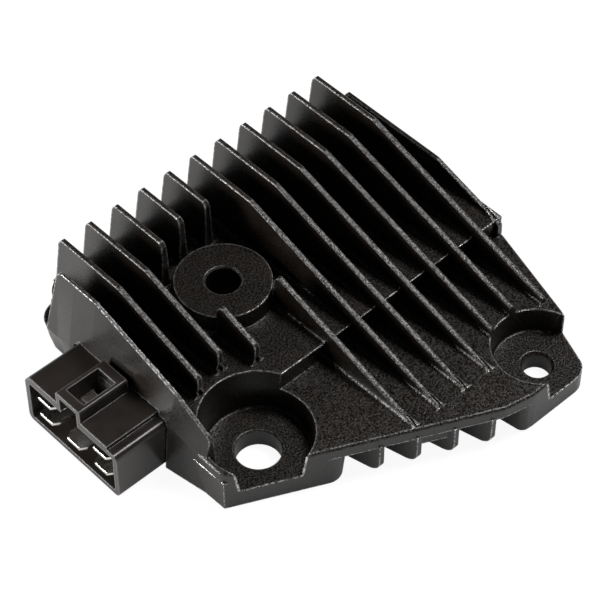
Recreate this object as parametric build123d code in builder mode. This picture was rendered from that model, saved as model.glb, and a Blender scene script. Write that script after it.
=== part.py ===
from build123d import *
import math
import os

# Voltage regulator rectifier, in millimetres
# +X runs across the fins away from the connector, +Y toward the back ends of the fins, +Z up
# Sizes below are laid out from the back end of the first inner fin
# At export the origin moves to the axis of the left mounting hole, on the mounting plane

# Fins
PITCH = 7.79
FIN_TOP = 30.3
FIN_TIP = 1.3
FIN_EDGE = 0.35
FIN_DRAFT = 2.5
FIN_ROOT = 1.2
FIN_BEND = -20.5
FIN_LEAN = 2.0
FIN_CORNER = 2.4
LOW_FIN_X = 85.7
LOW_FIN_TOP = 22.0
LOW_FIN_BEND = -34.0
LOW_FIN_NOSE = -55.2

# Levels of the casting
DECK = 16.2
APRON = 11.5
APRON_UNDER = 8.3
APRON_ROUND = 0.8
LEDGE = 9.6
LUG_TOP = 5.0
BOSS_TOP = 20.2

# Outline of the casting
LEFT_X = -7.0
LEDGE_X = -8.9
RIGHT_X = 87.2
BACK_Y = 2.2
DECK_CORNER = 7.0
STEP_Y = -54.15
EDGE_Y = -68.2
EDGE_SLOPE = -0.492

# Side wall over the connector
WALL_OUTER = -7.0
WALL_INNER = -6.2
WALL_FOOT = -4.9
WALL_END = -57.6
WALL_TOPS = (FIN_TOP, 22.3, 16.5)

# Mounting holes, with their pockets and what stands round them
LEFT_HOLE = (4.95, -59.6)
LEFT_HOLE_R = 5.3
LEFT_RIM = 0.3
LEFT_POCKET_R = 12.1
LEFT_LUG_SIDE = 13.9
LEFT_LUG_REACH = 12.0
RIGHT_HOLE = (67.65, -84.9)
RIGHT_HOLE_R = 3.4
RIGHT_RIM = 0.65
RIGHT_POCKET_R = 10.4
RIGHT_LUG_SIDE = 6.95
RIGHT_LUG_FRONT = 8.95
RIGHT_LUG_BACK = (11.85, 4.1)
LUG_CORNER = 5.0
LEFT_LUG_CORNER = 4.5
LEFT_LUG_LEAN = 0.7
RIGHT_BLEND = 11.2           # hole axis to where the front edge's blend into the right lug ends
RIGHT_MEET = 18.7            # hole axis to where that blend leaves the oblique edge
FRONT_WINDOW = 5.5           # how far behind the oblique edge's line its blended edges reach
RIGHT_BLOCK_SIDE = 14.6      # hole axis to the left side of the block under the right lug
RIGHT_BLOCK_EDGE = 16.1      # hole axis to the point of the oblique edge that the side leads to
RIGHT_BLOCK_FRONT = 10.6     # hole axis to the left end of the block's front
RIGHT_BLOCK_BACK_Y = -72.0
RIGHT_BLOCK_TURN_Y = -87.0
BOSS_HOLE = (23.9, -27.3)
BOSS_HOLE_R = 4.0
BOSS_RIM = 0.4
BOSS_R = 11.3
POCKET_ROOT = 0.5
POCKET_SPREAD = 0.1

# Distances of fin ends from the holes they stop at
SHORT_BEFORE_LEFT = (13.0, 15.0, 11.6)
SHORT_BEHIND_BOSS = (10.1, 13.0, 13.0)
STARTS_BEFORE_BOSS = (8.2, 9.9)
NOSE_BEHIND_RIGHT = (2.6, 6.9, 8.2)

# Ribs below the apron
RIB_T = 1.3
RIB_LOW = 0.3
RIB_ROUND = 2.8
RIB_FLARE = 2.0
RIB_FLARE_END = 8.0
PAD_LOW = 5.0

# Cavity for the electronics, open at the bottom
CAVITY_LEFT = -6.6
CAVITY_RIGHT = 83.6
CAVITY_BACK = -1.6
CAVITY_FRONT = -50.4
CEILING = 12.2
CAVITY_CORNER = 6.0
RESIN_FACE = 1.0

# Connector
SHELL_FRONT = -23.9
SHELL_BACK = -8.4
SHELL_Y = (-46.1, -14.6)
SHELL_Z = (0.3, 15.3)
SHELL_WALL = 1.35
SHELL_CORNER = 1.5
SHELL_GAP = 0.25
LEDGE_DROP = 1.0
LEDGE_Y = (-42.95, -16.15)
BRIDGE_Y = (-34.1, -25.9)
BRIDGE_TOP = 18.9
BRIDGE_WALL = 1.2
BRIDGE_BACK = -10.2
WINDOW_X = (-21.6, -12.7)
SOCKET_TOP = 13.1
SOCKET_END = -14.4
SPIGOT_Y = (-44.0, -17.2)
SPIGOT_Z = (3.0, 12.0)
SPIGOT_END = -6.0

# Terminal blades
BLADE_W = 6.3
BLADE_T = 0.8
BLADE_TIP = 1.1
BLADE_COLUMNS = (-21.1, -30.6, -40.1)
BLADE_ROWS = (10.6, 5.0)
TAIL_W = 2.4
TAIL_SHIFT = 1.6

# Board and its sheet
SHEET_T = 0.4
BOARD_T = 1.4
BOARD_BACK = -4.5
BOARD_FRONT = -47.5
BOARD_LEFT = -3.6
BOARD_RIGHT = 80.5
COLUMN_R = 7.4
PART_GAP = 0.6

# Values that follow from those above
DRAFT = math.tan(math.radians(FIN_DRAFT))
BOARD_LOW = CEILING - SHEET_T - BOARD_T
FIN_NOSE = RIGHT_HOLE[1] + NOSE_BEHIND_RIGHT[0]
LUG_FRONT_Y = RIGHT_HOLE[1] - RIGHT_LUG_FRONT


def edge_y(x):
    """Front edge of the apron at a given X."""
    return EDGE_Y + EDGE_SLOPE * x


def fin_top(y):
    """Height of the fin crest at a given Y."""
    slope = (FIN_TOP - APRON + 0.3) / (FIN_BEND - FIN_NOSE)
    return FIN_TOP if y > FIN_BEND else FIN_TOP - slope * (FIN_BEND - y)


def block(x, y, z):
    """Box between two corners given as three ranges."""
    with BuildPart() as b:
        with Locations(((x[0] + x[1]) / 2, (y[0] + y[1]) / 2, (z[0] + z[1]) / 2)):
            Box(x[1] - x[0], y[1] - y[0], z[1] - z[0])
    return b.part


def prism(points, z):
    """Upright prism over a plan outline."""
    with BuildPart() as b:
        with BuildSketch(Plane.XY.offset(z[0])):
            Polygon(*points, align=None)
        extrude(amount=z[1] - z[0])
    return b.part


def side_profile(points, x, corners=()):
    """Prism across X over an outline in Y and Z, with some corners rounded."""
    with BuildPart() as b:
        with BuildSketch(Plane.YZ.offset(x[0])) as s:
            Polygon(*points, align=None)
            for (cy, cz), radius in corners:
                fillet([v for v in s.vertices() if math.hypot(v.X - cy, v.Y - cz) < 0.05], radius)
        extrude(amount=x[1] - x[0])
    return b.part


def fin_blank(x, start, end, low):
    """Stretch of a fin along a straight crest between two points in Y and Z, with drafted sides."""
    r, e = FIN_TIP / 2, FIN_EDGE
    c = e * (1 - math.sqrt(0.5))
    along = Vector(0, end[0] - start[0], end[1] - start[1])
    depth = max(start[1], end[1]) - low
    foot = r + (depth - e) * DRAFT
    with BuildPart() as b:
        with BuildSketch(Plane((x, *start), x_dir=(1, 0, 0), z_dir=along)):
            with BuildLine():
                Polyline((-r, -e), (-foot, -depth), (foot, -depth), (r, -e))
                ThreePointArc((r, -e), (r - c, -c), (r - e, 0))
                Line((r - e, 0), (e - r, 0))
                ThreePointArc((e - r, 0), (c - r, -c), (-r, -e))
            make_face()
        extrude(amount=along.length)
    return b.part


def mitred_fin(x, crest, low):
    """Fin under a crest line of two or three points in Y and Z, joined on the plane that halves the bend."""
    if len(crest) == 2:
        return [fin_blank(x, *crest, low)]
    back, bend, front = crest
    ahead = [Vector(0, q[0] - p[0], q[1] - p[1]).normalized() for p, q in ((back, bend), (bend, front))]
    halving = Plane((x, *bend), x_dir=(1, 0, 0), z_dir=ahead[0] + ahead[1])
    pieces = []
    for keep, step, (p, q) in ((Keep.BOTTOM, ahead[0], (back, bend)), (Keep.TOP, ahead[1], (bend, front))):
        if keep == Keep.BOTTOM:
            q = (q[0] + 8 * step.Y, q[1] + 8 * step.Z)
        else:
            p = (p[0] - 8 * step.Y, p[1] - 8 * step.Z)
        with BuildPart() as b:
            add(fin_blank(x, p, q, low))
            split(bisect_by=halving, keep=keep)
        pieces.append(b.part)
    return pieces


def fin_roots(x, span, level, tops):
    """Concave roots along both sides of a fin on one level, from span[0] forward to span[1]."""
    r = FIN_ROOT
    slant = math.hypot(1, DRAFT)
    half = [FIN_TIP / 2 + max(top - FIN_EDGE - level, 0) * DRAFT for top in tops]
    roots = []
    for side in (-1, 1):
        along = Vector(side * (half[1] - half[0]), span[1] - span[0], 0)
        start = Vector(x + side * half[0], span[0], level) - along.normalized()
        centre = r * (slant - DRAFT) - 0.02
        upper = (centre - r / slant, r - r * DRAFT / slant)
        middle = (centre - r * math.sqrt(0.5), r - r * math.sqrt(0.5))
        with BuildPart() as b:
            with BuildSketch(Plane(start, x_dir=(-along.Y, along.X, 0), z_dir=along)):
                with BuildLine():
                    ThreePointArc((side * centre, 0), (side * middle[0], middle[1]),
                                  (side * upper[0], upper[1]))
                    Polyline((side * upper[0], upper[1]), (side * (upper[0] - 0.25), upper[1]),
                             (side * (upper[0] - 0.25), -0.5), (side * centre, -0.5), (side * centre, 0))
                make_face()
            extrude(amount=along.length + 2)
            add(block((x - 5, x + 5), (span[1], span[0]), (level - 1, level + 3)), mode=Mode.INTERSECT)
        roots.append(b.part)
    return roots


def fin(x, y_front, y_back=0.0):
    """One fin from its leaning back end to y_front, its crest falling toward the front."""
    lean = FIN_LEAN if y_back > FIN_BEND else 0.5
    back = y_back + lean
    stations = (back + 1, FIN_BEND, y_front - 1)
    crest = [(y, fin_top(y)) for y in stations if y != FIN_BEND or y_front < y < back]
    floor = APRON if y_front < STEP_Y else DECK
    pieces = mitred_fin(x, crest, floor - 1.0)
    deck_front = max(y_front, STEP_Y)
    pieces += fin_roots(x, (back, deck_front), DECK, (fin_top(back), fin_top(deck_front)))
    if y_front < STEP_Y:
        pieces += fin_roots(x, (STEP_Y, y_front), APRON, (fin_top(STEP_Y), fin_top(y_front)))
    over = 0.4
    top = [(y_front, fin_top(y_front) + over)]
    if y_front < FIN_BEND < y_back:
        top.append((FIN_BEND, FIN_TOP + over))
    top.append((y_back, fin_top(y_back) + over))
    low = floor - 0.4
    corners = [(top[-1], FIN_CORNER)]
    if fin_top(y_front) - low > 2.5:
        corners.append((top[0], FIN_CORNER))
    envelope = side_profile([(y_front, low), *top, (back, low)], (x - 4, x + 4), corners)
    with BuildPart() as b:
        add(pieces)
        add(envelope, mode=Mode.INTERSECT)
    return b.part


def cylinder(centre, radius, z, top_radius=None):
    """Upright cylinder or cone between two heights."""
    with BuildPart() as b:
        with BuildSketch(Plane.XY.offset(z[0])):
            with Locations(centre):
                Circle(radius)
        if top_radius is not None:
            with BuildSketch(Plane.XY.offset(z[1])):
                with Locations(centre):
                    Circle(top_radius)
            loft()
        else:
            extrude(amount=z[1] - z[0])
    return b.part


def pocket(centre, radius):
    """Round pocket with a spreading wall and a small concave root at its floor, open above."""
    r = POCKET_ROOT
    c = r * (1 - math.sqrt(0.5))
    rise = 2 * FIN_TOP
    with BuildPart() as b:
        with BuildSketch(Plane.XZ):
            with BuildLine():
                Polyline((0, LUG_TOP), (radius - r, LUG_TOP))
                ThreePointArc((radius - r, LUG_TOP), (radius - c, LUG_TOP + c), (radius, LUG_TOP + r))
                Polyline((radius, LUG_TOP + r), (radius + POCKET_SPREAD * rise, LUG_TOP + rise),
                         (0, LUG_TOP + rise),
                         (0, LUG_TOP))
            make_face()
        revolve(axis=Axis.Z)
    return b.part.moved(Location((centre[0], centre[1], 0)))


def hole(centre, radius, rim, top):
    """Through hole with a chamfered rim at its top."""
    with BuildPart() as b:
        add(cylinder(centre, radius, (-1, top + 1)))
        add(cylinder(centre, radius, (top - rim, top + 1), radius + rim + 1))
    return b.part


def outline_prism(points, radii, z):
    """Upright prism over an outline whose corners are rounded by the given radii."""
    with BuildPart() as b:
        with BuildSketch(Plane.XY.offset(z[0])) as s:
            Polygon(*points, align=None)
            for (px, py), radius in zip(points, radii):
                if radius > 0:
                    fillet([v for v in s.vertices() if math.hypot(v.X - px, v.Y - py) < 0.05], radius)
        extrude(amount=z[1] - z[0])
    return b.part


def wall_section(y, crest, bulge, foot):
    """Section of the side wall across X, a little over its crest, with the bulge of its outer face."""
    over = 0.6
    lean = (WALL_OUTER - bulge[0]) / (crest - bulge[1])
    draft = (WALL_FOOT - WALL_INNER) / crest
    with BuildSketch(Plane.XZ.offset(-y)) as s:
        Polygon((WALL_INNER - over * draft, crest + over), (WALL_OUTER + over * lean, crest + over), bulge,
                (foot, 0), (WALL_FOOT, 0), align=None)
    return s.sketch.face()


def side_wall():
    """Outermost fin on the connector side, its outer face spreading toward the mounting plane."""
    tall, mid, low = WALL_TOPS
    bend, turn = FIN_BEND, SHELL_Y[0] - 0.5
    sections = [wall_section(-1.0, tall, (LEDGE_X, LEDGE), -6.6),
                wall_section(-7.3, tall, (LEDGE_X - 0.1, LEDGE), -6.8),
                wall_section(-13.0, tall, (-9.9, 12.0), -11.0),
                wall_section(bend, tall, (-9.9, 14.0), -11.1),
                wall_section(turn, mid, (-9.7, 14.0), -10.9),
                wall_section(WALL_END, low, (-8.6, 10.0), -9.1)]
    with BuildPart() as w:
        loft(sections, ruled=True)
        shape = [(WALL_END, -1), (WALL_END, low), (turn, mid), (bend, tall), (-7.2, tall),
                 (-2.4, 5.0), (-2.4, -1)]
        add(side_profile(shape, (-16, -3), [(shape[1], 2.0), (shape[4], FIN_CORNER)]), mode=Mode.INTERSECT)
    return w.part


def low_fin():
    """Lower fin along the right edge."""
    nose = LOW_FIN_TOP - fin_top(LOW_FIN_BEND) + fin_top(LOW_FIN_NOSE)
    slope = (LOW_FIN_TOP - nose) / (LOW_FIN_BEND - LOW_FIN_NOSE)
    crest = [(0.0, LOW_FIN_TOP), (LOW_FIN_BEND, LOW_FIN_TOP), (LOW_FIN_NOSE - 1, nose - slope)]
    shape = [(LOW_FIN_NOSE, APRON - 0.6), (LOW_FIN_NOSE, nose + 0.4), (LOW_FIN_BEND, LOW_FIN_TOP + 0.4),
             (-3.1, LOW_FIN_TOP + 0.4), (-1.6, APRON - 0.6)]
    with BuildPart() as b:
        add(mitred_fin(LOW_FIN_X, crest, APRON - 1.0))
        add(fin_roots(LOW_FIN_X, (-1.6, STEP_Y), DECK, (LOW_FIN_TOP, nose)))
        add(side_profile(shape, (LOW_FIN_X - 4, RIGHT_X), [(shape[1], 1.5), (shape[3], 2.0)]),
            mode=Mode.INTERSECT)
    return b.part


def around_holes(z, grow):
    """Columns the cavity and the board leave free, at the left lug and the boss."""
    return [cylinder(LEFT_HOLE, LEFT_POCKET_R + 2.6 + grow, z), cylinder(BOSS_HOLE, COLUMN_R + grow, z)]


def cavity(z0, z1):
    """Space for the electronics between two heights."""
    with BuildPart() as b:
        corners = [(CAVITY_LEFT, CAVITY_FRONT), (CAVITY_RIGHT, CAVITY_FRONT), (CAVITY_RIGHT, CAVITY_BACK),
                   (CAVITY_LEFT, CAVITY_BACK)]
        add(outline_prism(corners, (0, 2.0, 2.0, CAVITY_CORNER), (z0, z1)))
        add(around_holes((z0 - 1, z1 + 1), 0), mode=Mode.SUBTRACT)
    return b.part


def board_layer(z0, z1):
    """Sheet or board under the cavity's ceiling."""
    with BuildPart() as b:
        add(block((BOARD_LEFT, BOARD_RIGHT), (BOARD_FRONT, BOARD_BACK), (z0, z1)))
        add(around_holes((z0 - 1, z1 + 1), PART_GAP), mode=Mode.SUBTRACT)
    return b.part


def blade(column, row):
    """Terminal blade with its bent tail up to the board."""
    y, z = BLADE_COLUMNS[column], BLADE_ROWS[row]
    low, high = z - BLADE_T / 2, z + BLADE_T / 2
    half = BLADE_W / 2
    front, back = SHELL_FRONT, SPIGOT_END + 0.4
    plan = [(front, y - half + BLADE_TIP), (front + 1.5 * BLADE_TIP, y - half), (back, y - half),
            (back, y + half), (front + 1.5 * BLADE_TIP, y + half), (front, y + half - BLADE_TIP)]
    with BuildPart() as b:
        add(prism(plan, (low, high)))
        add(cylinder((front + 4.6, y), 0.8, (low - 1, high + 1)), mode=Mode.SUBTRACT)
        if row == 0:
            span = (y + TAIL_SHIFT - TAIL_W / 2, y + TAIL_SHIFT + TAIL_W / 2)
            shelf = BOARD_LOW - 3.2
            run = BOARD_LEFT + 5.4
            add(block((back - BLADE_T, back), span, (shelf, high)))
            add(block((back - BLADE_T, run), span, (shelf, shelf + BLADE_T)))
            add(block((run - BLADE_T, run), span, (shelf, BOARD_LOW)))
        else:
            span = (y - TAIL_SHIFT - TAIL_W / 2, y - TAIL_SHIFT + TAIL_W / 2)
            run = BOARD_LEFT + 1.8
            add(block((back - 0.5, run), span, (low, high)))
            add(block((run - BLADE_T, run), span, (low, BOARD_LOW)))
    return b.part


def shell_block(x, gap, low):
    """Rounded block of the connector shell between two X, grown by a gap and reaching down to a level."""
    top = SHELL_Z[1] - LEDGE_DROP + gap
    wide = SHELL_Y[1] - SHELL_Y[0] + 2 * gap
    with BuildPart() as b:
        with BuildSketch(Plane((x[0], 0, 0), x_dir=(0, 1, 0), z_dir=(1, 0, 0))):
            with Locations(((SHELL_Y[0] + SHELL_Y[1]) / 2, (low + top) / 2)):
                RectangleRounded(wide, top - low, SHELL_CORNER)
        extrude(amount=x[1] - x[0])
        add(block(x, (LEDGE_Y[0] - gap, LEDGE_Y[1] + gap), (top - 2, SHELL_Z[1] + gap)))
    return b.part


def shell(blades):
    """Connector housing: open socket, side ledges, latch bridge and the spigot into the casting."""
    mid_y = (SHELL_Y[0] + SHELL_Y[1]) / 2
    inner_low = SHELL_Z[0] + SHELL_WALL
    channel = (BRIDGE_Y[0] + BRIDGE_WALL, BRIDGE_Y[1] - BRIDGE_WALL)
    with BuildPart() as b:
        add(shell_block((SHELL_FRONT, SHELL_BACK), 0, SHELL_Z[0]))
        add(block((SHELL_FRONT, BRIDGE_BACK), BRIDGE_Y, (SHELL_Z[1] - 1, BRIDGE_TOP)))
        fillet(b.edges().filter_by(Axis.X).filter_by(lambda e: e.center().Z > BRIDGE_TOP - 0.1), 0.5)
        add(block((SHELL_BACK, SPIGOT_END), SPIGOT_Y, SPIGOT_Z))
        # Socket with its rounded corners
        with BuildSketch(Plane((SHELL_FRONT, 0, 0), x_dir=(0, 1, 0), z_dir=(1, 0, 0))):
            with Locations((mid_y, (inner_low + SOCKET_TOP) / 2)):
                RectangleRounded(SHELL_Y[1] - SHELL_Y[0] - 2 * SHELL_WALL, SOCKET_TOP - inner_low, 0.8)
        extrude(amount=SOCKET_END - SHELL_FRONT, mode=Mode.SUBTRACT)
        # Latch channel under the bridge and the window over it
        add(block((SHELL_FRONT - 1, SOCKET_END + 1.5), channel, (SOCKET_TOP - 1, BRIDGE_TOP - BRIDGE_WALL)),
            mode=Mode.SUBTRACT)
        add(block(WINDOW_X, channel, (BRIDGE_TOP - 2, BRIDGE_TOP + 1)), mode=Mode.SUBTRACT)
        add(blades, mode=Mode.SUBTRACT)
    return b.part


def chip(centre, size):
    """Moulded package hanging from the board."""
    x, y = centre
    w, d, h = size
    return block((x - w / 2, x + w / 2), (y - d / 2, y + d / 2), (BOARD_LOW - h, BOARD_LOW))


def tapered(low_points, low_radius, high_points, high_radius, corner, z):
    """Block between two outlines at two heights, each with one rounded corner."""
    with BuildPart() as b:
        for points, radius, level in ((low_points, low_radius, z[0]), (high_points, high_radius, z[1])):
            with BuildSketch(Plane.XY.offset(level)) as s:
                Polygon(*points, align=None)
                px, py = points[corner]
                fillet([v for v in s.vertices() if math.hypot(v.X - px, v.Y - py) < 0.05], radius)
        loft(ruled=True)
    return b.part


def rib(k):
    """Rib below the apron in line with a fin, thicker toward the box, with a rounded front corner."""
    x = k * PITCH - 0.1
    half = RIB_T / 2
    front = edge_y(x + half) + 0.1
    inner, top = STEP_Y + 1, APRON_UNDER + 0.5
    wide = half + RIB_FLARE
    plan = [(x - half, front), (x + half, front), (x + wide, front + RIB_FLARE_END),
            (x + wide, inner), (x - wide, inner), (x - wide, front + RIB_FLARE_END)]
    side = [(front, top), (front, RIB_LOW), (inner, RIB_LOW), (inner, top)]
    with BuildPart() as b:
        add(prism(plan, (0, top)))
        add(side_profile(side, (x - 5, x + 5), [(side[1], RIB_ROUND)]), mode=Mode.INTERSECT)
    return b.part


def apron():
    """Apron with the oblique front edge, its top edge rounded along the front."""
    left = LEFT_HOLE[0] - LEFT_LUG_SIDE
    lug_x = RIGHT_HOLE[0] + RIGHT_LUG_SIDE
    back_x, back_y = RIGHT_HOLE[0] + RIGHT_LUG_BACK[0], RIGHT_HOLE[1] + RIGHT_LUG_BACK[1]
    blend, meet = RIGHT_HOLE[0] - RIGHT_BLEND, RIGHT_HOLE[0] - RIGHT_MEET
    points = [(LEFT_X + 1, STEP_Y + 1), (RIGHT_X, STEP_Y + 1), (RIGHT_X - 0.6, STEP_Y - 1.9),
              (back_x, back_y), (lug_x, LUG_FRONT_Y), (blend, LUG_FRONT_Y), (meet, edge_y(meet)),
              (left, edge_y(left)), (left, STEP_Y + 1)]
    with BuildPart() as b:
        add(outline_prism(points, (0, 0, 6.0, 0, LUG_CORNER, 12.0, 9.0, 3.0, 0), (APRON_UNDER, APRON)))
        top = b.edges().filter_by(lambda e: abs(e.center().Z - APRON) < 0.01 and e.center().Y < back_y)
        front = [e for e in top if left + 0.5 < e.center().X < lug_x + 0.5
                 and e.center().Y < edge_y(e.center().X) + FRONT_WINDOW]
        fillet(front, APRON_ROUND)
    return b.part


def lug_blocks():
    """Solid blocks from the mounting plane up into the apron under the two lugs."""
    left = LEFT_HOLE[0] - LEFT_LUG_SIDE
    near = LEFT_HOLE[0] + LEFT_LUG_REACH
    top = APRON_UNDER + 0.5

    def left_outline(reach):
        return [(left, edge_y(left)), (near + reach, edge_y(near + reach)), (near + reach + 2, STEP_Y - 6),
                (near + reach + 2, STEP_Y + 1.2), (LEFT_X, STEP_Y + 1.2), (left - 0.2, STEP_Y)]

    lug_x = RIGHT_HOLE[0] + RIGHT_LUG_SIDE
    back_x, back_y = RIGHT_HOLE[0] + RIGHT_LUG_BACK[0], RIGHT_HOLE[1] + RIGHT_LUG_BACK[1]
    side = RIGHT_HOLE[0] - RIGHT_BLOCK_SIDE
    right = [(side - 0.5, RIGHT_BLOCK_BACK_Y), (side, RIGHT_BLOCK_TURN_Y),
             (side + 1.0, edge_y(RIGHT_HOLE[0] - RIGHT_BLOCK_EDGE)),
             (RIGHT_HOLE[0] - RIGHT_BLOCK_FRONT, LUG_FRONT_Y), (lug_x, LUG_FRONT_Y),
             (back_x, back_y), (back_x + 2.1, RIGHT_BLOCK_BACK_Y)]
    with BuildPart() as b:
        add(outline_prism(left_outline(0), (3.0, LEFT_LUG_CORNER, 0, 0, 0, 0), (0, top)))
        add(tapered(left_outline(0), LEFT_LUG_CORNER, left_outline(LEFT_LUG_LEAN), LEFT_LUG_CORNER,
                    1, (0, top)))
        add(outline_prism(right, (0, 0, 2.0, 4.0, LUG_CORNER, 0, 0), (0, top)))
    return b.part


def pocket_mouth():
    """Cut that opens the right pocket through the side of the lug."""
    x, y = RIGHT_HOLE
    mouth = [(9.3, 4.65), (11.55, 2.15), (13.5, 2.0), (13.5, -5.0), (7.0, -5.0), (7.0, 4.0)]
    return prism([(x + dx, y + dy) for dx, dy in mouth], (LUG_TOP, 2 * FIN_TOP))


# Heat sink: box, deck, apron, fins and lugs in one casting
with BuildPart() as heat_sink:
    back = BACK_Y - 0.5
    # Box, its back left corner narrower at the bottom
    add(outline_prism([(LEFT_X, back - 9.0), (LEFT_X + 1.6, back), (RIGHT_X, back), (RIGHT_X, STEP_Y),
                       (LEFT_X, STEP_Y)], (0, 5.5, 4.0, 0, 0), (0, 12.4)))
    low_corner = [(LEDGE_X + 2.7, back - 14.0), (LEDGE_X + 2.7, back - 0.3),
                  (10.0, back - 0.3), (10.0, back - 14.0)]
    high_corner = [(LEDGE_X, back - 14.0), (LEDGE_X, back), (10.0, back), (10.0, back - 14.0)]
    add(tapered(low_corner, 4.5, high_corner, 6.0, 1, (0, LEDGE)))
    # Deck
    add(outline_prism([(LEFT_X + 1, BACK_Y), (RIGHT_X, BACK_Y), (RIGHT_X, STEP_Y), (LEFT_X + 1, STEP_Y)],
                      (DECK_CORNER, 3.0, 0, 0), (10.0, DECK)))
    add(apron())
    add(lug_blocks())
    # Deck reaches round the left pocket
    add(block((LEFT_X, 20.0), (STEP_Y, STEP_Y + 1), (APRON, DECK)))
    # Fins across the deck, the long ones running down onto the apron
    left_y, boss_y = LEFT_HOLE[1], BOSS_HOLE[1]
    fins = [fin(k * PITCH, left_y + SHORT_BEFORE_LEFT[k]) for k in (0, 1)]
    fins += [fin(k * PITCH, boss_y + SHORT_BEHIND_BOSS[k - 2]) for k in (2, 3, 4)]
    fins += [fin(2 * PITCH, left_y + SHORT_BEFORE_LEFT[2], y_back=boss_y - STARTS_BEFORE_BOSS[0]),
             fin(4 * PITCH, FIN_NOSE, y_back=boss_y - STARTS_BEFORE_BOSS[1])]
    fins += [fin(k * PITCH, FIN_NOSE) for k in (5, 6, 7)]
    fins += [fin(k * PITCH, RIGHT_HOLE[1] + NOSE_BEHIND_RIGHT[1]) for k in (8, 9)]
    fins += [fin(10 * PITCH, RIGHT_HOLE[1] + NOSE_BEHIND_RIGHT[2])]
    add(fins)
    add(low_fin())
    add([rib(k) for k in range(3, 7)])
    # Pad between two of the ribs
    add(prism([(4 * PITCH, edge_y(4 * PITCH) + 1), (5 * PITCH, edge_y(5 * PITCH) + 1),
               (5 * PITCH, edge_y(5 * PITCH) + 8), (4 * PITCH, edge_y(4 * PITCH) + 8)],
              (PAD_LOW, APRON_UNDER + 0.5)))
    # Boss with its leaning side
    add(cylinder(BOSS_HOLE, BOSS_R + 0.8, (DECK - 1, BOSS_TOP), BOSS_R))
    # Pockets over the two lugs
    add(pocket(LEFT_HOLE, LEFT_POCKET_R), mode=Mode.SUBTRACT)
    add(pocket(RIGHT_HOLE, RIGHT_POCKET_R), mode=Mode.SUBTRACT)
    add(pocket_mouth(), mode=Mode.SUBTRACT)
    add(side_wall())
    # Seat of the connector, its opening and the cavity
    add(shell_block((SHELL_FRONT, SHELL_BACK), SHELL_GAP, -2 * SHELL_CORNER), mode=Mode.SUBTRACT)
    add(cavity(0.0, CEILING), mode=Mode.SUBTRACT)
    add(block((SHELL_BACK - 1, CAVITY_LEFT + 1), SPIGOT_Y, SPIGOT_Z), mode=Mode.SUBTRACT)
    add(hole(LEFT_HOLE, LEFT_HOLE_R, LEFT_RIM, LUG_TOP), mode=Mode.SUBTRACT)
    add(hole(RIGHT_HOLE, RIGHT_HOLE_R, RIGHT_RIM, LUG_TOP), mode=Mode.SUBTRACT)
    add(hole(BOSS_HOLE, BOSS_HOLE_R, BOSS_RIM, BOSS_TOP), mode=Mode.SUBTRACT)


# Terminal blades, upper row first
blades = {"blade_upper_left": blade(0, 0), "blade_upper_right": blade(2, 0), "blade_lower_left": blade(0, 1),
          "blade_lower_middle": blade(1, 1), "blade_lower_right": blade(2, 1)}
housing = shell(list(blades.values()))

# Electronics hanging from the board inside the resin
sheet = board_layer(CEILING - SHEET_T, CEILING)
board = board_layer(BOARD_LOW, CEILING - SHEET_T)
inner = {"insulating_sheet": sheet, "circuit_board": board}
for i in range(3):
    inner[f"thyristor_{i + 1}"] = chip((42.0 + 13.5 * i, -13.0), (10.2, 8.8, 4.5))
    inner[f"diode_{i + 1}"] = chip((42.0 + 13.5 * i, -27.0), (9.0, 6.0, 3.6))
inner["bus_strip_plus"] = chip((55.5, -21.0), (40.0, 3.0, 1.0))
inner["bus_strip_minus"] = chip((55.5, -33.5), (40.0, 3.0, 1.0))
inner["control_chip"] = chip((8.5, -11.0), (8.6, 6.2, 1.8))
inner["zener_diode"] = chip((19.0, -10.5), (4.6, 2.6, 2.2))
inner["filter_capacitor"] = cylinder((50.0, -42.0), 3.6, (BOARD_LOW - 7.0, BOARD_LOW))
for i in range(4):
    inner[f"resistor_{i + 1}"] = chip((60.0 + 5.5 * i, -42.0), (2.0, 3.2, 0.7))

with BuildPart() as resin:
    add(cavity(RESIN_FACE, CEILING))
    add([*inner.values(), *blades.values(), housing], mode=Mode.SUBTRACT)

pieces = {"heat_sink": heat_sink.part, "connector_housing": housing, "potting_resin": resin.part}
pieces.update(blades)
pieces.update(inner)
os.makedirs("parts", exist_ok=True)
to_origin = Location((-LEFT_HOLE[0], -LEFT_HOLE[1], 0))
for name, solid in pieces.items():
    solid = solid.moved(to_origin)
    solid.label = name
    export_step(solid, f"parts/{name}.step")
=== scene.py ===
import math

import bmesh
import bpy
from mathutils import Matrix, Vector


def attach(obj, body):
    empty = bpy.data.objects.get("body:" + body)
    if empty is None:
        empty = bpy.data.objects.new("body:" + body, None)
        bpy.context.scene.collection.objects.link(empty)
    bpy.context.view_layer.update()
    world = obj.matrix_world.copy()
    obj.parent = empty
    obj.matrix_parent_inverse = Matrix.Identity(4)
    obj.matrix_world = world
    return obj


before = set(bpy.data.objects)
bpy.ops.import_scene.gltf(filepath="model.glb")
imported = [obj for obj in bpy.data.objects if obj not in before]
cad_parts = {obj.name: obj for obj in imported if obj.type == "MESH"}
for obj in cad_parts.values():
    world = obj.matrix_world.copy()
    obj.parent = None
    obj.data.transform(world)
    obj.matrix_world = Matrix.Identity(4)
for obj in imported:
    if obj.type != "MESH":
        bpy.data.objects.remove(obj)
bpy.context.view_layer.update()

# Camera of the photograph, in metres and degrees in the part's own frame
TARGET = Vector((0.03205, 0.0196, 0.0120))
AZIMUTH = -43.09
ELEVATION = 48.62
DISTANCE = 0.5282
FOCAL_PX = 2311.1
AXIS_PX = (303.8, 305.1)
FRAME_PX = 600

# Colours of the casting's coat
COAT_DARK = (0.0050, 0.0036, 0.0026)
COAT_LIGHT = (0.0120, 0.0090, 0.0068)
# Light spots of the coat's grain, which on level faces also serve as a painted glint
COAT_FLECK_AND_GLINT = (0.064, 0.052, 0.043)
COAT_EDGE = (0.60, 0.59, 0.58)

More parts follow.
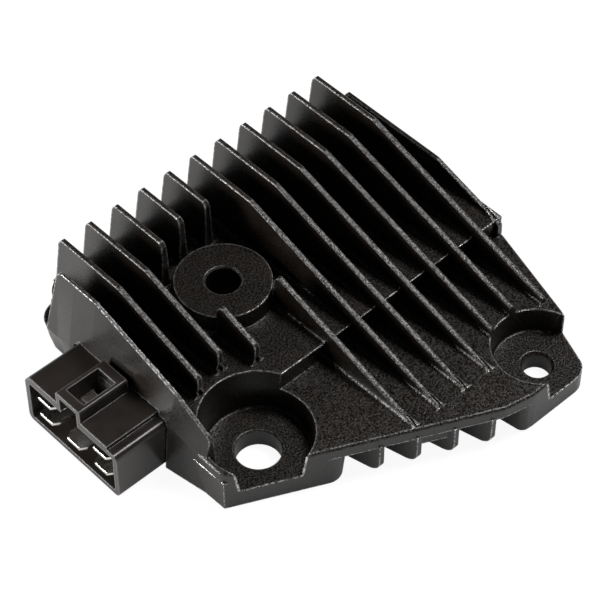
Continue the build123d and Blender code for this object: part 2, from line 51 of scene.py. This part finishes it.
# Surface of the coat, with its sizes and depths in mm
COAT_ROUGHNESS = (0.24, 0.38)
COAT_GLOSS = 0.48
COAT_GLOSS_SPREAD = 0.36
BROAD_MM = 9.0
GRAIN_MM = 0.45
GRAIN_RELIEF_MM = 0.095
FLECK_MM = 0.315
WAVE_MM = 5.0
WAVE_RELIEF_MM = 0.05
WEAR_MM = 0.42
WEAR_PATCH_MM = 0.6
COAT_ROUND_MM = 0.45

# How open the inside of an edge is at the wear's two ends
WEAR_OPENNESS = (0.60, 0.96)

# Upward part of a surface's normal where it counts as upright and as level
UPRIGHT, LEVEL = 0.30, 0.65

# Heights in metres over which the wear fades at the fins' feet, from below and from above
FEET_BELOW = (0.0116, 0.0120)
FEET_ABOVE = (0.0125, 0.0160)

# Front face of the casting in mm: its Y at X = 0, and its slope
FRONT_Y = -11.035
FRONT_SLOPE = -0.492

# Rounded corner of the left lug's block on that face, in mm and degrees
CORNER_X = 13.25
CORNER_R = 4.2
CORNER_SIDE_ANGLE = 86.0
CORNER_STEPS = 32
CORNER_LEAN = 0.7
CORNER_LOW = 0.01
CORNER_TOP = 8.3
CORNER_PROUD = 0.004
CORNER_INNER = ((13.4, 1.6), (12.3, -6.4), (10.6, -9.9), (7.6, -12.2), (5.9, -13.2))

# Floor, in metres: its grey for the room's light, its shade and glow for the camera
FLOOR_PLACE = (0.032, 0.02, -0.0001)
FLOOR_RADIUS = 3.0
FLOOR_ALBEDO = 0.80
FLOOR_SHADE = 0.163
FLOOR_GLOW = 0.93
# Reach of the painted shade that dims the floor's glow near the part
FLOOR_PAINTED_SHADE_REACH = 0.03

# Room's light at the horizon and above, and how far up it fades
ROOM_LOW = 0.28
ROOM_HIGH = 0.03
ROOM_FADE = 0.6


def node(tree, kind, **values):
    """Adds a node and sets its properties, and its inputs by name."""
    made = tree.nodes.new(kind)
    for key, value in values.items():
        if hasattr(made, key):
            setattr(made, key, value)
        else:
            made.inputs[key.replace("_", " ")].default_value = value
    return made


def link(tree, source, target):
    """Joins an output to an input."""
    tree.links.new(source, target)


def new_material(name):
    """Empty node material with its Principled shader, and object coordinates for the textures."""
    material = bpy.data.materials.new(name)
    material.use_nodes = True
    tree = material.node_tree
    tree.nodes.clear()
    output = node(tree, "ShaderNodeOutputMaterial")
    shader = node(tree, "ShaderNodeBsdfPrincipled")
    link(tree, shader.outputs["BSDF"], output.inputs["Surface"])
    place = node(tree, "ShaderNodeTexCoord")
    return material, tree, shader, place.outputs["Object"]


def noise(tree, place, size_mm, detail=2.0, roughness=0.5, stretch=None):
    """Noise whose features are about size_mm across."""
    if stretch:
        mapping = node(tree, "ShaderNodeMapping", Scale=stretch)
        link(tree, place, mapping.inputs["Vector"])
        place = mapping.outputs["Vector"]
    made = node(tree, "ShaderNodeTexNoise", Scale=1000.0 / size_mm, Detail=detail, Roughness=roughness)
    link(tree, place, made.inputs["Vector"])
    return made.outputs["Fac"]


def ranged(tree, value, low, high, start=0.3, end=0.7):
    """Maps an output from start..end to low..high."""
    made = node(tree, "ShaderNodeMapRange", From_Min=start, From_Max=end, To_Min=low, To_Max=high)
    link(tree, value, made.inputs["Value"])
    return made.outputs["Result"]


def blend_colours(tree, factor, first, second):
    """Mixes two colours, either of which may be a value or an output."""
    made = node(tree, "ShaderNodeMix", data_type="RGBA")
    link(tree, factor, made.inputs["Factor"])
    for socket, colour in ((made.inputs[6], first), (made.inputs[7], second)):
        if isinstance(colour, tuple):
            socket.default_value = (*colour, 1.0)
        else:
            link(tree, colour, socket)
    return made.outputs[2]


def combined(tree, operation, first, second):
    """One of a Math node's operations on two outputs."""
    made = node(tree, "ShaderNodeMath", operation=operation)
    link(tree, first, made.inputs[0])
    link(tree, second, made.inputs[1])
    return made.outputs[0]


def bump(tree, height, depth_mm, strength=1.0, normal=None):
    """Surface relief of a given depth, its strength a number or an output."""
    made = node(tree, "ShaderNodeBump", Distance=depth_mm / 1000.0)
    if isinstance(strength, float):
        made.inputs["Strength"].default_value = strength
    else:
        link(tree, strength, made.inputs["Strength"])
    link(tree, height, made.inputs["Height"])
    if normal:
        link(tree, normal, made.inputs["Normal"])
    return made.outputs["Normal"]


def rounded_edges(tree, radius_mm):
    """Normal that rounds the edges over."""
    made = node(tree, "ShaderNodeBevel", samples=6, Radius=radius_mm / 1000.0)
    return made.outputs["Normal"]


def outer_edges(tree, reach_mm):
    """Mask that is 1 on outer edges and 0 on faces and inner corners."""
    inward = node(tree, "ShaderNodeAmbientOcclusion", inside=True, only_local=True, samples=8,
                  Distance=reach_mm / 1000.0)
    return ranged(tree, inward.outputs["AO"], 1.0, 0.0, *WEAR_OPENNESS)


def height_of(tree, vector):
    """Z of a vector output."""
    split = node(tree, "ShaderNodeSeparateXYZ")
    link(tree, vector, split.inputs[0])
    return split.outputs["Z"]


def facing_up(tree, low, high):
    """Value that goes from low on upright faces to high on level ones."""
    surface = node(tree, "ShaderNodeNewGeometry")
    return ranged(tree, height_of(tree, surface.outputs["Normal"]), low, high, UPRIGHT, LEVEL)


def off_feet(tree, place):
    """Factor that is 0 at the fins' feet, just above the apron, and 1 away from them."""
    height = height_of(tree, place)
    below = ranged(tree, height, 1.0, 0.0, *FEET_BELOW)
    above = ranged(tree, height, 0.0, 1.0, *FEET_ABOVE)
    return combined(tree, "MAXIMUM", below, above)


def wear(tree, place):
    """Mask of the bare metal that shows in specks along the outer edges."""
    patches = ranged(tree, noise(tree, place, WEAR_PATCH_MM, 2.0, 0.6), 0.08, 1.0, 0.42, 0.56)
    specked = combined(tree, "MULTIPLY", outer_edges(tree, WEAR_MM), patches)
    return combined(tree, "MULTIPLY", specked, off_feet(tree, place))


def cast_coat(name="cast_coat", worn=True):
    """Satin black coat over the grain of a die casting, worn through along its edges if asked; its grain's
    light spots gather on level faces as a painted glint.
    """
    material, tree, shader, place = new_material(name)
    broad = noise(tree, place, BROAD_MM, 3.0)
    grain = noise(tree, place, GRAIN_MM, 2.0, 0.6)
    specks = ranged(tree, noise(tree, place, FLECK_MM, 1.0), 0.0, 0.85, 0.54, 0.68)
    # Light spots of the grain, stronger on level faces as a painted glint
    flecks_and_glints = combined(tree, "MULTIPLY", specks, facing_up(tree, 0.12, 1.0))
    mottled = blend_colours(tree, ranged(tree, broad, 0.0, 1.0), COAT_DARK, COAT_LIGHT)
    colour = blend_colours(tree, flecks_and_glints, mottled, COAT_FLECK_AND_GLINT)
    if worn:
        bare = wear(tree, place)
        colour = blend_colours(tree, bare, colour, COAT_EDGE)
        link(tree, bare, shader.inputs["Metallic"])
    link(tree, colour, shader.inputs["Base Color"])
    link(tree, ranged(tree, grain, *COAT_ROUGHNESS), shader.inputs["Roughness"])
    spread = COAT_GLOSS_SPREAD
    gloss = ranged(tree, noise(tree, place, GRAIN_MM, 1.0, 0.6), -spread, spread, 0.43, 0.57)
    uneven = combined(tree, "MULTIPLY", gloss, facing_up(tree, 0.10, 1.0))
    link(tree, ranged(tree, uneven, COAT_GLOSS - spread, COAT_GLOSS + spread, -spread, spread),
         shader.inputs["Specular IOR Level"])
    rounded = rounded_edges(tree, COAT_ROUND_MM) if worn else None
    relief = bump(tree, grain, GRAIN_RELIEF_MM, facing_up(tree, 0.22, 0.95), rounded)
    wavy = bump(tree, noise(tree, place, WAVE_MM, 1.0), WAVE_RELIEF_MM, 0.4, relief)
    link(tree, wavy, shader.inputs["Normal"])
    return material


def moulded(name, colour, roughness, grain_mm=0.5, depth_mm=0.006, edge_mm=0.25,
            edge_highlight_colour=(0.05, 0.05, 0.052)):
    """Moulded plastic with fine texture and slightly lighter edges, a painted highlight along its outer
    edges.
    """
    material, tree, shader, place = new_material(name)
    grain = noise(tree, place, grain_mm, 2.0)
    broad = noise(tree, place, BROAD_MM, 2.0)
    lighter = tuple(1.5 * c for c in colour)
    body = blend_colours(tree, ranged(tree, broad, 0.0, 1.0), colour, lighter)
    # Painted highlight: the outer edges are blended towards a lighter colour
    link(tree, blend_colours(tree, outer_edges(tree, 1.3 * edge_mm), body, edge_highlight_colour),
         shader.inputs["Base Color"])
    link(tree, ranged(tree, broad, roughness - 0.04, roughness + 0.05), shader.inputs["Roughness"])
    link(tree, bump(tree, grain, depth_mm, 0.6, rounded_edges(tree, edge_mm)), shader.inputs["Normal"])
    return material


def metal(name, dark, light, roughness, stretch, depth_mm=0.004, edge_mm=0.12):
    """Bright metal with fine drawn lines along one direction."""
    material, tree, shader, place = new_material(name)
    lines = noise(tree, place, 0.25, 2.0, 0.6, stretch)
    tarnish = ranged(tree, noise(tree, place, 2.5, 3.0), 0.0, 1.0)
    link(tree, blend_colours(tree, tarnish, dark, light), shader.inputs["Base Color"])
    link(tree, ranged(tree, lines, roughness - 0.08, roughness + 0.12), shader.inputs["Roughness"])
    link(tree, bump(tree, lines, depth_mm, 0.5, rounded_edges(tree, edge_mm)), shader.inputs["Normal"])
    shader.inputs["Metallic"].default_value = 1.0
    return material


def potting():
    """Dull black resin with faint ripples and a few pinholes."""
    material, tree, shader, place = new_material("potting")
    ripple = noise(tree, place, 22.0, 2.0)
    dust = ranged(tree, noise(tree, place, 0.9, 3.0), 0.0, 1.0)
    link(tree, blend_colours(tree, dust, (0.010, 0.010, 0.011), (0.022, 0.021, 0.021)),
         shader.inputs["Base Color"])
    link(tree, ranged(tree, ripple, 0.30, 0.46), shader.inputs["Roughness"])
    pits = node(tree, "ShaderNodeTexVoronoi", Scale=140.0)
    link(tree, place, pits.inputs["Vector"])
    hollow = bump(tree, ranged(tree, pits.outputs["Distance"], 0.0, 1.0, 0.02, 0.09), 0.15, 0.7)
    link(tree, bump(tree, ripple, 0.5, 0.5, hollow), shader.inputs["Normal"])
    return material


def laminate():
    """Green board laminate with its glass weave."""
    material, tree, shader, place = new_material("laminate")
    weave = node(tree, "ShaderNodeTexWave", Scale=260.0, Distortion=1.0)
    link(tree, place, weave.inputs["Vector"])
    link(tree, blend_colours(tree, weave.outputs["Fac"], (0.010, 0.075, 0.028), (0.016, 0.105, 0.040)),
         shader.inputs["Base Color"])
    link(tree, ranged(tree, noise(tree, place, 6.0), 0.30, 0.42), shader.inputs["Roughness"])
    link(tree, bump(tree, weave.outputs["Fac"], 0.01, 0.5), shader.inputs["Normal"])
    return material


def dress():
    """Gives every carried-over node its material, found by the start of its name."""
    package = moulded("package", (0.016, 0.016, 0.017), 0.50, 0.3, 0.010)
    looks = {
        "heat_sink": cast_coat(),
        # The housing's outer edges get a light grey painted highlight
        "connector_housing": moulded("housing", (0.023, 0.0185, 0.0165), 0.26, 0.6, 0.008, 0.30,
                                     (0.16, 0.16, 0.16)),
        "potting_resin": potting(),
        "insulating_sheet": moulded("sheet", (0.17, 0.19, 0.21), 0.62, 0.8, 0.012),
        "circuit_board": laminate(),
        "control_chip": moulded("chip", (0.020, 0.020, 0.024), 0.35, 0.4),
        "filter_capacitor": metal("can", (0.60, 0.60, 0.61), (0.72, 0.72, 0.73), 0.30, (1.0, 1.0, 8.0)),
        "blade": metal("tinned", (0.80, 0.78, 0.74), (0.92, 0.91, 0.88), 0.20, (1.0, 8.0, 1.0),
                       0.002, 0.35),
        "bus": metal("copper_strip", (0.62, 0.27, 0.15), (0.80, 0.42, 0.27), 0.34, (1.0, 8.0, 1.0)),
        "thyristor": package,
        "diode": package,
        "zener": package,
        "resistor": moulded("resistor_body", (0.030, 0.045, 0.090), 0.40, 0.4),
    }
    for name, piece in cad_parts.items():
        match = [key for key in looks if name.startswith(key)]
        piece.data.materials.clear()
        piece.data.materials.append(looks[match[0]])


def front_y(x):
    """Front face of the casting at a given X."""
    return FRONT_Y + FRONT_SLOPE * x


def corner_outline(shift):
    """Plan of the corner: along the front face, round the corner and back inside the block."""
    along = math.atan(FRONT_SLOPE)
    turn = math.radians(CORNER_SIDE_ANGLE) - along
    cut = CORNER_R * math.tan(turn / 2)
    x = CORNER_X + shift
    start = Vector((x - cut * math.cos(along), front_y(x) - cut * math.sin(along)))
    centre = start + CORNER_R * Vector((-math.sin(along), math.cos(along)))
    angles = [along + turn * k / CORNER_STEPS for k in range(CORNER_STEPS + 1)]
    arc = [centre + CORNER_R * Vector((math.sin(a), -math.cos(a))) for a in angles]
    end_x = CORNER_INNER[-1][0]
    first = Vector((end_x, front_y(end_x) - CORNER_PROUD))
    return [first] + arc + [Vector(point) for point in CORNER_INNER]


def lug_corner():
    """Rounded lower corner of the left lug's block, flush with the front face."""
    build = bmesh.new()
    low, high = [[build.verts.new((v.x / 1000.0, v.y / 1000.0, z / 1000.0)) for v in corner_outline(shift)]
                 for shift, z in ((0.0, CORNER_LOW), (CORNER_LEAN, CORNER_TOP))]
    build.faces.new(low)
    build.faces.new(high)
    for k in range(len(low)):
        build.faces.new((low[k - 1], low[k], high[k], high[k - 1]))
    bmesh.ops.triangulate(build, faces=[f for f in build.faces if len(f.verts) > 4])
    bmesh.ops.recalc_face_normals(build, faces=build.faces)
    mesh = bpy.data.meshes.new("left_lug_corner")
    build.to_mesh(mesh)
    build.free()
    mesh.materials.append(cast_coat("cast_coat_plain", False))
    piece = bpy.data.objects.new("left_lug_corner", mesh)
    bpy.context.collection.objects.link(piece)
    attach(piece, "root")


def mixed(tree, factor, first, second):
    """Blend of two shaders."""
    mix = node(tree, "ShaderNodeMixShader")
    link(tree, factor, mix.inputs[0])
    link(tree, first.outputs[0], mix.inputs[1])
    link(tree, second.outputs[0], mix.inputs[2])
    return mix.outputs[0]


def grey(level):
    """Opaque grey as a colour socket takes it."""
    return (level, level, level, 1.0)


def floor():
    """Pale floor that shows as white and keeps a faint shadow."""
    bpy.ops.mesh.primitive_circle_add(vertices=96, radius=FLOOR_RADIUS, fill_type="NGON",
                                      location=FLOOR_PLACE)
    plane = bpy.context.object
    plane.name = "studio_floor"
    material = bpy.data.materials.new("studio_floor")
    material.use_nodes = True
    tree = material.node_tree
    tree.nodes.clear()
    output = node(tree, "ShaderNodeOutputMaterial")
    path = node(tree, "ShaderNodeLightPath")
    # Camera, glossy and transmitted rays see a glowing floor, and glossy ones see it dark near the part, a
    # painted shade from ambient occlusion
    seen = combined(tree, "MAXIMUM", path.outputs["Is Camera Ray"], path.outputs["Is Glossy Ray"])
    seen = combined(tree, "MAXIMUM", seen, path.outputs["Is Transmission Ray"])
    near = node(tree, "ShaderNodeAmbientOcclusion", samples=4, Distance=FLOOR_PAINTED_SHADE_REACH)
    clear = combined(tree, "MAXIMUM", path.outputs["Is Camera Ray"], near.outputs["AO"])
    plain = node(tree, "ShaderNodeBsdfDiffuse", Color=grey(FLOOR_ALBEDO))
    shaded = node(tree, "ShaderNodeBsdfDiffuse", Color=grey(FLOOR_SHADE))
    glow = node(tree, "ShaderNodeEmission")
    link(tree, ranged(tree, clear, 0.0, FLOOR_GLOW, 0.0, 1.0), glow.inputs["Strength"])
    both = node(tree, "ShaderNodeAddShader")
    link(tree, shaded.outputs[0], both.inputs[0])
    link(tree, glow.outputs[0], both.inputs[1])
    link(tree, mixed(tree, seen, plain, both), output.inputs["Surface"])
    plane.data.materials.append(material)


def room():
    """White to the camera, and otherwise a dim room that is brighter near the floor."""
    world = bpy.data.worlds.new("room")
    bpy.context.scene.world = world
    world.use_nodes = True
    tree = world.node_tree
    tree.nodes.clear()
    output = node(tree, "ShaderNodeOutputWorld")
    place = node(tree, "ShaderNodeTexCoord")
    height = height_of(tree, place.outputs["Generated"])
    dim = node(tree, "ShaderNodeBackground")
    link(tree, ranged(tree, height, ROOM_LOW, ROOM_HIGH, 0.0, ROOM_FADE), dim.inputs["Strength"])
    white = node(tree, "ShaderNodeBackground", Color=grey(1.0), Strength=1.0)
    path = node(tree, "ShaderNodeLightPath")
    link(tree, mixed(tree, path.outputs["Is Camera Ray"], dim, white), output.inputs["Surface"])


def lamp(name, direction, distance, size, power):
    """Square soft lamp that faces the object."""
    data = bpy.data.lights.new(name, "AREA")
    data.shape = "SQUARE"
    data.size = size
    data.energy = power
    made = bpy.data.objects.new(name, data)
    bpy.context.collection.objects.link(made)
    toward = Vector(direction).normalized()
    made.location = TARGET + toward * distance
    made.rotation_euler = toward.to_track_quat("Z", "Y").to_euler()


def camera():
    """Camera at the photograph's viewing angle and distance."""
    data = bpy.data.cameras.new("camera")
    data.sensor_width = 36.0
    data.sensor_fit = "HORIZONTAL"
    data.lens = FOCAL_PX / FRAME_PX * data.sensor_width
    data.shift_x = -(AXIS_PX[0] - FRAME_PX / 2) / FRAME_PX
    data.shift_y = (AXIS_PX[1] - FRAME_PX / 2) / FRAME_PX
    data.clip_start = 0.01
    made = bpy.data.objects.new("camera", data)
    bpy.context.collection.objects.link(made)
    a, e = math.radians(AZIMUTH), math.radians(ELEVATION)
    back = Vector((math.sin(a) * math.cos(e), -math.cos(a) * math.cos(e), math.sin(e)))
    made.location = TARGET + back * DISTANCE
    made.rotation_euler = back.to_track_quat("Z", "Y").to_euler()
    bpy.context.scene.camera = made


camera()
dress()
lug_corner()
floor()
room()
lamp("overhead", (0.40, -0.12, 0.90), distance=1.2, size=0.38, power=8.0)
lamp("back_left", (-0.84, 0.48, 0.24), distance=1.3, size=0.60, power=22.0)
bpy.context.scene.view_settings.view_transform = "Standard"
